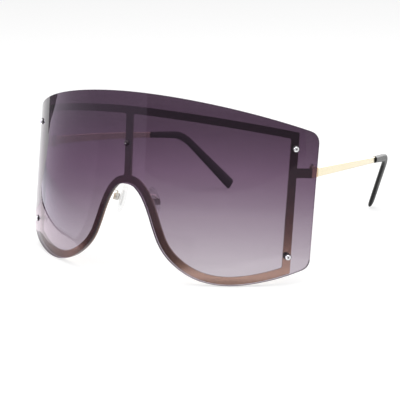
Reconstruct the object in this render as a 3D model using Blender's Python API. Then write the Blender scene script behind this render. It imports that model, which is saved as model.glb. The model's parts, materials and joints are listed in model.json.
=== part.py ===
"""Shield sunglasses: one wraparound lens on a flat metal frame, with folding temples.

The pieces are laid out as they are worn: the top of the nose arch is the origin, +X is
the wearer's left, +Y runs back along the temples and +Z is up. An empty then tips the
whole object back until it stands on the lens lobes and the two temple tips.
"""

import math

import bmesh
import bpy
from mathutils import Matrix, Vector

MM = 0.001

# Fits
SEAT_GAP = 0.3 * MM
BORE_CLEARANCE = 0.3 * MM
CUT_OVERRUN = 1.0 * MM
MERGE_DISTANCE = 0.001 * MM

# Lens: a slice of an oblique cone, upright at the centre and round in plan
LENS_RADIUS = 98.0 * MM
CONE_SLOPE = 0.104
LENS_THICKNESS = 1.2 * MM
LENS_HALF_SPAN = 74.8 * MM
LENS_TOP = 40.2 * MM
LENS_SHOULDER_DROP = 13.2 * MM
LENS_TOP_POWER = 1.94
UPPER_CORNER_RADIUS = 4.8 * MM
LOWER_CORNER_RADIUS = 5.6 * MM

# Nose arch and lobes: the lens's lower edge
LOBE_ARC = 46.0 * MM
LOBE_DROP = 40.4 * MM
OUTER_RISE = 10.4 * MM
OUTER_POWER = 1.62
ARCH_SHARES = (
    (0.0, 0.0),
    (0.05, 0.006),
    (0.10, 0.030),
    (0.176, 0.125),
    (0.243, 0.275),
    (0.304, 0.461),
    (0.363, 0.617),
    (0.450, 0.752),
    (0.585, 0.877),
    (0.730, 0.957),
    (0.870, 0.992),
    (1.0, 1.0),
)

# Flat frame behind the lens
FRAME_THICKNESS = 1.1 * MM
FRAME_SIDE_INSET = 5.8 * MM
SIDE_BAR_WIDTH = 3.5 * MM
BROW_BAR_TOP = 33.8 * MM
BROW_BAR_DROP = 8.4 * MM
BROW_BAR_POWER = 1.8
BROW_BAR_WIDTH = 3.3 * MM
CENTRE_BAR_WIDTH = 3.5 * MM
RIM_INSET = 0.25 * MM
RIM_WIDTH = 3.3 * MM
FRAME_CORNER_RADIUS = 0.8 * MM
CORNER_CLEAR_SHARE = 1.6

# End pieces: the arms that carry the hinges
ARM_HEIGHT = 4.1 * MM
ARM_LEVEL = 9.0 * MM
ARM_REACH = 6.2 * MM
ARM_BEND_RADIUS = 2.2 * MM
ARM_TAIL = 4.1 * MM

# Lens screws and their cap nuts; the centre ones are smaller
SCREW_SHANK_RADIUS = 0.6 * MM
SCREW_HEAD_RADIUS = 1.3 * MM
SCREW_HEAD_HEIGHT = 0.9 * MM
SCREW_FLAT_RADIUS = 0.8 * MM
SCREW_SOCKET_RADIUS = 0.5 * MM
SCREW_SOCKET_DEPTH = 0.45 * MM
SCREW_THREAD_ENGAGEMENT = 1.0 * MM
NUT_ACROSS_FLATS = 2.9 * MM
NUT_HEX_HEIGHT = 1.1 * MM
NUT_DOME_HEIGHT = 0.8 * MM
NUT_DOME_RADIUS = 1.3 * MM
NUT_DOME_SHARES = (0.0, 0.35, 0.7, 0.9)
CENTRE_SCREW_SHARE = 0.7
UPPER_SCREW_LEVEL = 19.5 * MM
LOWER_SCREW_LEVEL_SHARE = 0.669
CENTRE_SCREW_LEVEL = 17.5 * MM

# Screw heads of every size, as shares of their own height and radius
HEAD_EDGE_SHARE = 0.35
HEAD_SHOULDER_SHARE = 0.8
HEAD_SHOULDER_WIDTH_SHARE = 0.6
SLOTTED_FLAT_SHARE = 0.8

# Hinges
KNUCKLE_RADIUS = 1.3 * MM
KNUCKLE_HEIGHT = 1.5 * MM
HINGE_LEAF_THICKNESS = 1.1 * MM
HINGE_FRONT_LEAF = 3.2 * MM
HINGE_REAR_LEAF = 5.5 * MM
HINGE_REAR_LEAF_HEIGHT = 3.0 * MM
HINGE_PIN_RADIUS = 0.45 * MM
HINGE_HEAD_RADIUS = 1.0 * MM
HINGE_HEAD_HEIGHT = 0.6 * MM
HINGE_SLOT_WIDTH = 0.35 * MM
HINGE_SLOT_DEPTH = 0.3 * MM
HINGE_LEAF_STEP_SHARES = (0.7, 0.05)

# Temples
TEMPLE_THICKNESS = 1.2 * MM
TEMPLE_HEIGHT = 4.1 * MM
TEMPLE_END_THICKNESS = 1.0 * MM
TEMPLE_END_HEIGHT = 2.9 * MM
TEMPLE_EDGE_CHAMFER = 0.25 * MM
EAR_REACH = 95.3 * MM
EAR_INSET = 10.5 * MM
EAR_FALL = 2.8 * MM
BOW_SHARES = (0.12, 0.507, 0.02)
EAR_BEND_RADIUS = 16.0 * MM
DROP_LENGTH = 35.2 * MM
DROP_PITCH = math.radians(42.6)
DROP_TOE_IN = math.radians(35.2)

# Temple tips and the metal cores inside them
TIP_START = 77.2 * MM
TIP_FRONT_THICKNESS = 2.7 * MM
TIP_FRONT_WIDTH = 3.3 * MM
TIP_END_THICKNESS = 2.5 * MM
TIP_END_WIDTH = 7.0 * MM
TIP_SWELL_POWER = 1.4
TIP_OVAL_POWER = 0.85
TIP_END_ROUNDING = 1.5 * MM
TIP_ROUNDING_SHARES = (0.45, 0.75, 0.93, 1.0)
TIP_ROUNDING_DEPTH_SHARE = 0.96
CORE_THICKNESS = 0.8 * MM
CORE_HEIGHT = 1.6 * MM
CORE_END_MARGIN = 14.0 * MM

# Nose pads, in the pad screw's own frame: x away from the nose, y along the screw
PAD_PIVOT_SPAN = 10.6 * MM
PAD_PIVOT_SETBACK = 9.2 * MM
PAD_PIVOT_LEVEL = -7.8 * MM
PAD_SPLAY = math.radians(22.0)
PAD_FLARE = math.radians(12.0)
PAD_HEIGHT = 14.0 * MM
PAD_WIDTH = 7.2 * MM
PAD_THICKNESS = 2.3 * MM
PAD_POCKET_DEPTH = 1.0 * MM
PAD_NARROWING_SHARE = 0.12
PAD_PROFILE_SHARES = (
    (0.0, 0.45),
    (0.06, 0.72),
    (0.2, 0.9),
    (0.45, 1.0),
    (0.8, 1.0),
    (1.0, 0.94),
)
INSERT_PLATE_HEIGHT = 7.0 * MM
INSERT_PLATE_WIDTH = 4.2 * MM
INSERT_PLATE_THICKNESS = 0.6 * MM
LUG_THICKNESS = 0.9 * MM
LUG_HEIGHT = 2.2 * MM
LUG_REACH = 2.0 * MM
BOX_WALL = 0.5 * MM
BOX_DEPTH = 2.2 * MM
BOX_HEIGHT = 2.8 * MM
PAD_SCREW_RADIUS = 0.35 * MM
PAD_SCREW_HEAD_RADIUS = 0.8 * MM
PAD_SCREW_HEAD_HEIGHT = 0.45 * MM
PAD_SLOT_WIDTH = 0.3 * MM
PAD_SLOT_DEPTH = 0.2 * MM
PAD_WIRE_RADIUS = 0.4 * MM
PAD_WIRE_ROOT_ARC = 10.2 * MM
PAD_WIRE_ROOT_LEVEL = -4.6 * MM
PAD_WIRE_RISE = 1.2 * MM
PAD_WIRE_BACK_SHARE = 0.7
PAD_WIRE_LIFT_SHARE = 0.6

# Facets
COLUMN_ARC = 4.0 * MM
EDGE_STEP = 3.0 * MM
ARCH_STEPS = 17
CORNER_STEPS = 5
ROUND_STEPS = 18
SMALL_ROUND_STEPS = 12
TIP_ROUND_STEPS = 16
TEMPLE_STEPS = 10
EAR_STEPS = 6
DROP_STEPS = 4

SIDES = (("left", 1), ("right", -1))

FRAME_HALF_SPAN = LENS_HALF_SPAN - FRAME_SIDE_INSET
LOWER_SCREW_LEVEL = -LOBE_DROP * LOWER_SCREW_LEVEL_SHARE
SEAT_DEPTH = LENS_THICKNESS + SEAT_GAP
FRAME_BACK = SEAT_DEPTH + FRAME_THICKNESS
SIDE_ARC = LENS_RADIUS * math.asin(LENS_HALF_SPAN / LENS_RADIUS)
HINGE_OFFSET = KNUCKLE_RADIUS + SEAT_GAP + TEMPLE_THICKNESS / 2
HINGE_HEIGHT = 3 * KNUCKLE_HEIGHT + 2 * SEAT_GAP


# Lens surface and edges

def cone_radius(height):
    """Radius of the lens's front surface at a height above the nose arch."""
    return LENS_RADIUS - CONE_SLOPE * height


def shell_point(arc, depth, height):
    """Point at an arc from the centre line, a depth behind the front surface and a height."""
    radius = cone_radius(height)
    angle = arc / LENS_RADIUS
    x = (radius - depth) * math.sin(angle)
    y = radius - (radius - depth) * math.cos(angle)
    return Vector((x, y, height))


def arc_at_span(half_span, height):
    """Arc at which the front surface is half_span away from the centre plane."""
    return LENS_RADIUS * math.asin(half_span / cone_radius(height))


def lens_top_edge(arc):
    return LENS_TOP - LENS_SHOULDER_DROP * abs(arc / SIDE_ARC) ** LENS_TOP_POWER


def brow_bar_edge(arc):
    return BROW_BAR_TOP - BROW_BAR_DROP * abs(arc / SIDE_ARC) ** BROW_BAR_POWER


def through_shares(shares, x):
    """Height on the smooth curve through a list of (x, height) shares."""
    last = len(shares) - 1
    i = max(k for k in range(last) if shares[k][0] <= x or k == 0)

    def slope(k):
        low, high = max(k - 1, 0), min(k + 1, last)
        if k in (0, last):
            return 0.0
        return (shares[high][1] - shares[low][1]) / (shares[high][0] - shares[low][0])

    width = shares[i + 1][0] - shares[i][0]
    t = min((x - shares[i][0]) / width, 1.0)
    start, end = shares[i][1], shares[i + 1][1]
    bend_in = slope(i) * width
    bend_out = slope(i + 1) * width
    rise = (3 * t ** 2 - 2 * t ** 3) * (end - start)
    return start + rise + (t - 2 * t ** 2 + t ** 3) * bend_in + (t ** 3 - t ** 2) * bend_out


def lens_lower_edge(arc):
    """Height of the lens's lower edge: nose arch, lobe, then the rise to the outer corner."""
    if arc <= LOBE_ARC:
        return -LOBE_DROP * through_shares(ARCH_SHARES, arc / LOBE_ARC)
    return -LOBE_DROP + OUTER_RISE * ((arc - LOBE_ARC) / (SIDE_ARC - LOBE_ARC)) ** OUTER_POWER


def meeting_arc(half_span, edge):
    """Arc where a curved edge meets the upright line at half_span."""
    arc = SIDE_ARC
    for _ in range(20):
        arc = arc_at_span(half_span, edge(arc))
    return arc


def steps_between(start, end, step):
    """Evenly spaced values strictly between two values, about a step apart."""
    count = max(1, round(abs(end - start) / step))
    return [start + (end - start) * i / count for i in range(1, count)]


def fillet(before, corner, after, radius):
    """Arc that rounds a corner between two straight neighbours."""
    corner = Vector(corner)
    to_before = (Vector(before) - corner).normalized()
    to_after = (Vector(after) - corner).normalized()
    half = to_before.angle(to_after) / 2
    centre = corner + (to_before + to_after).normalized() * radius / math.sin(half)
    start = corner + to_before * radius / math.tan(half) - centre
    end = corner + to_after * radius / math.tan(half) - centre
    sweep = start.angle_signed(end)
    points = []
    for i in range(CORNER_STEPS + 1):
        turn = Matrix.Rotation(-sweep * i / CORNER_STEPS, 2)
        points.append(centre + turn @ start)
    return points


def rounded_outline(points):
    """Closed outline from (arc, height, corner radius) points, with its corners rounded."""
    corners = [Vector(p[:2]) for p in points if p[2] > 0]
    reach = [p[2] * CORNER_CLEAR_SHARE for p in points if p[2] > 0]

    def clear_of_corners(point):
        return all((Vector(point[:2]) - c).length > r for c, r in zip(corners, reach))

    kept = [p for p in points if p[2] > 0 or clear_of_corners(p)]
    outline = []
    for i, (arc, height, radius) in enumerate(kept):
        if radius > 0:
            after = kept[(i + 1) % len(kept)]
            outline += fillet(kept[i - 1][:2], (arc, height), after[:2], radius)
        else:
            outline.append(Vector((arc, height)))
    return outline


def mirror_points(points):
    """The same points on the other side, in reverse order."""
    return [(-arc, height, radius) for arc, height, radius in reversed(points)]


def lower_edge_points(end_arc):
    """Points along the lens's lower edge, from the arch top to an arc."""
    arch_end = LOBE_ARC / 2
    arcs = [arch_end * i / ARCH_STEPS for i in range(ARCH_STEPS + 1)]
    arcs += steps_between(arch_end, end_arc, EDGE_STEP) + [end_arc]
    return [Vector((arc, lens_lower_edge(arc))) for arc in arcs]


def inset_points(points, distance):
    """Points moved square to their line, up into the lens."""
    moved = []
    for i, point in enumerate(points):
        along = points[min(i + 1, len(points) - 1)] - points[max(i - 1, 0)]
        if i == 0:
            along = Vector((1, 0))
        moved.append(point + Vector((-along.y, along.x)).normalized() * distance)
    return moved


def height_on(points, arc):
    """Height of a line of points at an arc."""
    for a, b in zip(points, points[1:]):
        if a.x <= arc <= b.x:
            return a.y + (b.y - a.y) * (arc - a.x) / (b.x - a.x)
    return points[-1].y


def ring_points(centre, radius, steps):
    return [
        Vector((centre[0] + radius * math.cos(turn), centre[1] + radius * math.sin(turn)))
        for turn in (math.tau * i / steps for i in range(steps))
    ]


# Meshes

def closed(bm):
    """Merge the seams of a mesh and turn its faces outwards."""
    bmesh.ops.remove_doubles(bm, verts=bm.verts, dist=MERGE_DISTANCE)
    bmesh.ops.recalc_face_normals(bm, faces=bm.faces)
    return bm


def for_side(bm, side):
    """Reflect a left-hand mesh for the right-hand side."""
    if side < 0:
        bmesh.ops.scale(bm, vec=(-1, 1, 1), verts=bm.verts)
        bmesh.ops.recalc_face_normals(bm, faces=bm.faces)
    return bm


def skin(rings):
    """Closed body through a row of point rings, capped at both ends."""
    bm = bmesh.new()
    loops = [[bm.verts.new(point) for point in ring] for ring in rings]
    count = len(loops[0])
    for a, b in zip(loops, loops[1:]):
        for i in range(count):
            j = (i + 1) % count
            bm.faces.new((a[i], a[j], b[j], b[i]))
    bm.faces.new(loops[0])
    bm.faces.new(loops[-1])
    return closed(bm)


def prism(outline, low, high):
    """Outline in x and y, extruded from low to high along z."""
    bm = bmesh.new()
    base = bm.faces.new([bm.verts.new((p[0], p[1], low)) for p in outline])
    raised = bmesh.ops.extrude_face_region(bm, geom=[base])
    top = [v for v in raised["geom"] if isinstance(v, bmesh.types.BMVert)]
    bmesh.ops.translate(bm, verts=top, vec=(0, 0, high - low))
    return closed(bm)


def lathe(profile, steps):
    """Profile of (radius, z) points turned once round the z axis."""
    bm = bmesh.new()
    verts = [bm.verts.new((radius, 0, z)) for radius, z in profile]
    edges = [bm.edges.new(pair) for pair in zip(verts, verts[1:])]
    bmesh.ops.spin(
        bm, geom=verts + edges, cent=(0, 0, 0), axis=(0, 0, 1), dvec=(0, 0, 0),
        angle=math.tau, steps=steps, use_merge=True, use_duplicate=False)
    bmesh.ops.remove_doubles(bm, verts=bm.verts, dist=MERGE_DISTANCE)
    return bm


def screw_mesh(shank_radius, shank_end, head_radius, head_height, flat_radius, recess, steps):
    """Screw along +z with its head's underside at zero and a recess in the head's flat top."""
    recess_outline, recess_depth = recess
    shoulder = flat_radius + (head_radius - flat_radius) * HEAD_SHOULDER_WIDTH_SHARE
    dome = [
        (head_radius, -head_height * HEAD_EDGE_SHARE),
        (shoulder, -head_height * HEAD_SHOULDER_SHARE),
        (flat_radius, -head_height),
    ]
    bm = lathe([(0, shank_end), (shank_radius, shank_end), (shank_radius, 0),
                (head_radius, 0)] + dome, steps)
    rim = [edge for edge in bm.edges if edge.is_boundary]
    mouth = [bm.verts.new((p[0], p[1], -head_height)) for p in recess_outline]
    mouth_edges = [bm.edges.new(pair) for pair in zip(mouth, mouth[1:] + mouth[:1])]
    bmesh.ops.scale(bm, vec=(1 / MM,) * 3, verts=bm.verts)
    bmesh.ops.triangle_fill(bm, use_beauty=True, edges=rim + mouth_edges)
    bmesh.ops.scale(bm, vec=(MM,) * 3, verts=bm.verts)
    walls = bmesh.ops.extrude_edge_only(bm, edges=mouth_edges)["geom"]
    floor = [v for v in walls if isinstance(v, bmesh.types.BMVert)]
    bmesh.ops.translate(bm, verts=floor, vec=(0, 0, recess_depth))
    floor_edges = [e for e in walls if isinstance(e, bmesh.types.BMEdge)
                   and all(v in floor for v in e.verts)]
    bmesh.ops.edgeloop_fill(bm, edges=floor_edges)
    return closed(bm)


def hex_outline(radius):
    return ring_points((0, 0), radius, 6)


def slot_outline(length, width):
    return [(-length / 2, -width / 2), (length / 2, -width / 2),
            (length / 2, width / 2), (-length / 2, width / 2)]


def bent_plate(loops, front, back):
    """Flat plate with holes, cut into columns and wrapped onto the lens's cone."""
    bm = bmesh.new()
    edges = []
    for loop in loops:
        verts = [bm.verts.new((p.x / MM, front / MM, p.y / MM)) for p in loop]
        edges += [bm.edges.new(pair) for pair in zip(verts, verts[1:] + verts[:1])]
    bmesh.ops.triangle_fill(bm, use_beauty=True, edges=edges)
    raised = bmesh.ops.extrude_face_region(bm, geom=bm.faces[:])
    rear = [v for v in raised["geom"] if isinstance(v, bmesh.types.BMVert)]
    bmesh.ops.translate(bm, verts=rear, vec=(0, (back - front) / MM, 0))
    reach = max(p.x for p in loops[0])
    columns = round(reach / COLUMN_ARC)
    for i in range(1 - columns, columns):
        bmesh.ops.bisect_plane(
            bm, geom=bm.verts[:] + bm.edges[:] + bm.faces[:], dist=MERGE_DISTANCE / MM,
            plane_co=(i * COLUMN_ARC / MM, 0, 0), plane_no=(1, 0, 0))
    for vert in bm.verts:
        arc, depth, height = vert.co * MM
        vert.co = shell_point(arc, depth, height)
    return closed(bm)


# Objects

def material(name, colour, metallic, roughness, alpha=1.0):
    """Principled material, made once for each finish."""
    if name in bpy.data.materials:
        return bpy.data.materials[name]
    made = bpy.data.materials.new(name)
    made.use_nodes = True
    shader = made.node_tree.nodes["Principled BSDF"]
    shader.inputs["Base Color"].default_value = (*colour, 1.0)
    shader.inputs["Metallic"].default_value = metallic
    shader.inputs["Roughness"].default_value = roughness
    shader.inputs["Alpha"].default_value = alpha
    made.diffuse_color = (*colour, alpha)
    return made


def tinted_lens():
    return material("tinted_lens", (0.20, 0.14, 0.20), 0.0, 0.05, 0.8)


def gold_metal():
    return material("gold_metal", (0.86, 0.66, 0.34), 1.0, 0.22)


def bright_steel():
    return material("bright_steel", (0.80, 0.80, 0.82), 1.0, 0.18)


def black_tip():
    return material("black_tip", (0.02, 0.02, 0.022), 0.0, 0.3)


def clear_silicone():
    return material("clear_silicone", (0.86, 0.86, 0.84), 0.0, 0.25, 0.5)


def add_empty(name, parent=None, location=(0, 0, 0), rotation=(0, 0, 0)):
    empty = bpy.data.objects.new(name, None)
    bpy.context.scene.collection.objects.link(empty)
    empty.parent = parent
    empty.location = location
    empty.rotation_euler = rotation
    empty.empty_display_size = LENS_THICKNESS
    return empty


def add_object(name, bm, finish, parent, location=(0, 0, 0), rotation=(0, 0, 0)):
    """Object from a finished mesh, smooth across its round stretches."""
    mesh = bpy.data.meshes.new(name)
    bm.to_mesh(mesh)
    bm.free()
    mesh.materials.append(finish)
    mesh.shade_smooth()
    mesh.set_sharp_from_angle(angle=math.radians(30))
    made = bpy.data.objects.new(name, mesh)
    bpy.context.scene.collection.objects.link(made)
    made.parent = parent
    made.location = location
    made.rotation_euler = rotation
    return made


def add_helper(name, bm, parent):
    """Wire-frame object that only shapes another through a Boolean."""
    helper = add_object(name, bm, bright_steel(), parent)
    helper.hide_render = True
    helper.display_type = "WIRE"
    return helper


def combine(target, helper, operation):
    modifier = target.modifiers.new(helper.name, "BOOLEAN")
    modifier.operation = operation
    modifier.solver = "EXACT"
    modifier.object = helper


# Lens and frame

def side_bar_arc(height):
    return arc_at_span(FRAME_HALF_SPAN, height)


def screw_seats():
    """Arc, height and share of full size of every lens screw, by name."""
    seats = {"centre": (0.0, CENTRE_SCREW_LEVEL, CENTRE_SCREW_SHARE)}
    for level_name, level in (("upper", UPPER_SCREW_LEVEL), ("lower", LOWER_SCREW_LEVEL)):
        for side_name, side in SIDES:
            arc = side_bar_arc(level) - SIDE_BAR_WIDTH / 2
            seats[f"{level_name}_{side_name}"] = (side * arc, level, 1.0)
    return seats


def screw_holes():
    return [
        ring_points((arc, level), SCREW_SHANK_RADIUS * size + BORE_CLEARANCE, SMALL_ROUND_STEPS)
        for arc, level, size in screw_seats().values()
    ]


def lens_outline():
    """Outline of the whole lens in arc and height."""
    top_arc = meeting_arc(LENS_HALF_SPAN, lens_top_edge)
    low_arc = meeting_arc(LENS_HALF_SPAN, lens_lower_edge)
    top, low = lens_top_edge(top_arc), lens_lower_edge(low_arc)
    half = [(arc, lens_top_edge(arc), 0) for arc in steps_between(0, top_arc, COLUMN_ARC)]
    half.append((top_arc, top, UPPER_CORNER_RADIUS))
    for height in steps_between(top, low, 2 * COLUMN_ARC):
        half.append((arc_at_span(LENS_HALF_SPAN, height), height, 0))
    half.append((low_arc, low, LOWER_CORNER_RADIUS))
    half += [(p.x, p.y, 0) for p in reversed(lower_edge_points(low_arc)[1:-1])]
    centre_top = (0, lens_top_edge(0), 0)
    centre_low = (0, lens_lower_edge(0), 0)
    return rounded_outline([centre_top] + half + [centre_low] + mirror_points(half))


def frame_outline(rim_outer):
    """Outer outline of the frame, with its two end-piece arms."""
    top_arc = meeting_arc(FRAME_HALF_SPAN, brow_bar_edge)
    top = brow_bar_edge(top_arc)
    low_arc = meeting_arc(FRAME_HALF_SPAN, lambda arc: height_on(rim_outer, arc))
    low = height_on(rim_outer, low_arc)
    arm_top, arm_low = ARM_LEVEL + ARM_HEIGHT / 2, ARM_LEVEL - ARM_HEIGHT / 2
    arm_end = side_bar_arc(ARM_LEVEL) + ARM_REACH
    half = [(arc, brow_bar_edge(arc), 0) for arc in steps_between(0, top_arc, COLUMN_ARC)]
    half.append((top_arc, top, FRAME_CORNER_RADIUS))
    for height in steps_between(top, arm_top, 2 * COLUMN_ARC):
        half.append((side_bar_arc(height), height, 0))
    half.append((side_bar_arc(arm_top), arm_top, 0))
    half.append((arm_end, arm_top, 0))
    half.append((arm_end, arm_low, 0))
    half.append((side_bar_arc(arm_low), arm_low, 0))
    for height in steps_between(arm_low, low, 2 * COLUMN_ARC):
        half.append((side_bar_arc(height), height, 0))
    half.append((low_arc, low, FRAME_CORNER_RADIUS))
    half += [(p.x, p.y, 0) for p in reversed(rim_outer) if 0 < p.x < low_arc]
    centre_top = (0, brow_bar_edge(0), 0)
    centre_low = (0, rim_outer[0].y, 0)
    return rounded_outline([centre_top] + half + [centre_low] + mirror_points(half))


def window_outline(rim_inner, side):
    """One eye window, between brow bar, side bar, rim and centre bar."""
    def inner_arc(height):
        return side_bar_arc(height) - SIDE_BAR_WIDTH

    def brow_low(arc):
        return brow_bar_edge(arc) - BROW_BAR_WIDTH

    centre = CENTRE_BAR_WIDTH / 2
    top_arc = low_arc = inner_arc(0)
    for _ in range(20):
        top_arc = inner_arc(brow_low(top_arc))
        low_arc = inner_arc(height_on(rim_inner, low_arc))
    top, low = brow_low(top_arc), height_on(rim_inner, low_arc)
    points = [(centre, brow_low(centre), FRAME_CORNER_RADIUS)]
    points += [(arc, brow_low(arc), 0) for arc in steps_between(centre, top_arc, COLUMN_ARC)]
    points.append((top_arc, top, FRAME_CORNER_RADIUS))
    for height in steps_between(top, low, 2 * COLUMN_ARC):
        points.append((inner_arc(height), height, 0))
    points.append((low_arc, low, FRAME_CORNER_RADIUS))
    points += [(p.x, p.y, 0) for p in reversed(rim_inner) if centre < p.x < low_arc]
    points.append((centre, height_on(rim_inner, centre), FRAME_CORNER_RADIUS))
    return rounded_outline(points if side > 0 else mirror_points(points))


def bend_arm(bm, side):
    """Turn one end-piece arm back towards its temple."""
    end_arc = side_bar_arc(ARM_LEVEL) + ARM_REACH
    angle = side * end_arc / LENS_RADIUS
    middle = shell_point(side * end_arc, (SEAT_DEPTH + FRAME_BACK) / 2, ARM_LEVEL)
    end = min(bm.faces, key=lambda face: (face.calc_center_median() - middle).length)
    for vert in end.verts:
        level = vert.co.z - ARM_LEVEL
        depth = SEAT_DEPTH if (vert.co - middle).dot(inward_at(angle)) < 0 else FRAME_BACK
        vert.co = shell_point(side * end_arc, depth, ARM_LEVEL) + Vector((0, 0, level))
    centre = middle + inward_at(angle) * ARM_BEND_RADIUS
    bent = bmesh.ops.spin(
        bm, geom=[end], cent=centre, axis=(0, 0, side), dvec=(0, 0, 0),
        angle=math.pi / 2 - abs(angle), steps=CORNER_STEPS, use_duplicate=False)
    last = [face for face in bent["geom_last"] if isinstance(face, bmesh.types.BMFace)]
    tail = bmesh.ops.extrude_face_region(bm, geom=last)
    moved = [v for v in tail["geom"] if isinstance(v, bmesh.types.BMVert)]
    bmesh.ops.translate(bm, verts=moved, vec=(0, ARM_TAIL, 0))
    bmesh.ops.delete(bm, geom=[end] + last, context="FACES_ONLY")


def inward_at(angle):
    """Direction square to the lens, from its front to its back."""
    return Vector((-math.sin(angle), math.cos(angle), 0))


def arm_end_point():
    """Middle of the left arm's rear end, where the temple follows on."""
    end_arc = side_bar_arc(ARM_LEVEL) + ARM_REACH
    angle = end_arc / LENS_RADIUS
    middle = shell_point(end_arc, (SEAT_DEPTH + FRAME_BACK) / 2, ARM_LEVEL)
    centre = middle + inward_at(angle) * ARM_BEND_RADIUS
    return centre + Vector((ARM_BEND_RADIUS, ARM_TAIL, 0))


def build_front(parent):
    """Lens and frame, both cut flat and wrapped onto the same cone."""
    lens = bent_plate([lens_outline()] + screw_holes(), 0.0, LENS_THICKNESS)
    add_object("lens", lens, tinted_lens(), parent)
    edge = lower_edge_points(SIDE_ARC)
    rim_outer = inset_points(edge, RIM_INSET)
    rim_inner = inset_points(edge, RIM_INSET + RIM_WIDTH)
    loops = [frame_outline(rim_outer)]
    loops += [window_outline(rim_inner, side) for _, side in SIDES]
    frame = bent_plate(loops + screw_holes(), SEAT_DEPTH, FRAME_BACK)
    for _, side in SIDES:
        bend_arm(frame, side)
    add_object("frame_front", closed(frame), gold_metal(), parent)


# Lens screws

def lens_screw(size):
    shank_end = FRAME_BACK + 2 * SEAT_GAP + SCREW_THREAD_ENGAGEMENT * size
    recess = (hex_outline(SCREW_SOCKET_RADIUS * size), SCREW_SOCKET_DEPTH * size)
    return screw_mesh(SCREW_SHANK_RADIUS * size, shank_end, SCREW_HEAD_RADIUS * size,
                      SCREW_HEAD_HEIGHT * size, SCREW_FLAT_RADIUS * size, recess, ROUND_STEPS)


def cap_nut(size):
    """Hexagon that rounds off into a dome, with a blind bore from below."""
    bore = SCREW_SHANK_RADIUS * size + BORE_CLEARANCE
    bore_depth = SCREW_THREAD_ENGAGEMENT * size + SEAT_GAP
    apothem = NUT_ACROSS_FLATS * size / 2
    hex_height = NUT_HEX_HEIGHT * size

    def ring(z, radius, flats):
        points = []
        for i in range(ROUND_STEPS):
            turn = math.tau * i / ROUND_STEPS
            from_flat = (turn % (math.pi / 3)) - math.pi / 6
            reach = apothem / math.cos(from_flat) if flats else radius
            points.append(Vector((reach * math.cos(turn), reach * math.sin(turn), z)))
        return points

    rings = [ring(bore_depth, bore, False), ring(0, bore, False), ring(0, 0, True),
             ring(hex_height, 0, True)]
    for share in NUT_DOME_SHARES:
        z = hex_height + NUT_DOME_HEIGHT * size * share
        rings.append(ring(z, NUT_DOME_RADIUS * size * math.sqrt(1 - share ** 2), False))
    return skin(rings)


def build_lens_screws(parent):
    for name, (arc, level, size) in screw_seats().items():
        turn = arc / LENS_RADIUS
        stand = Matrix.Rotation(-math.pi / 2, 4, "X")
        for piece, mesh, depth in (
                ("lens_screw", lens_screw(size), -SEAT_GAP),
                ("cap_nut", cap_nut(size), FRAME_BACK + SEAT_GAP)):
            bmesh.ops.transform(mesh, matrix=stand, verts=mesh.verts)
            add_object(f"{piece}_{name}", mesh, bright_steel(), parent,
                       shell_point(arc, depth, level), (0, 0, turn))


# Hinges

def knuckle_outline(leaf_end):
    """Knuckle with its leaf along +y or -y, seen from above with the hinge at the origin."""
    outer = KNUCKLE_RADIUS
    inner = KNUCKLE_RADIUS - HINGE_LEAF_THICKNESS
    meet = math.acos(inner / outer)
    points = [(inner, leaf_end), (outer, leaf_end)]
    away = -1 if leaf_end > 0 else 1
    sweep = math.tau - meet
    for i in range(SMALL_ROUND_STEPS + 1):
        turn = away * sweep * i / SMALL_ROUND_STEPS
        points.append((outer * math.cos(turn), outer * math.sin(turn)))
    return points


def hinge_bore():
    radius = HINGE_PIN_RADIUS + BORE_CLEARANCE
    half = HINGE_HEIGHT / 2 + CUT_OVERRUN
    return lathe_plug(radius, -half, half)


def lathe_plug(radius, low, high):
    return closed(lathe([(0, low), (radius, low), (radius, high), (0, high)],
                        SMALL_ROUND_STEPS))


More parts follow.
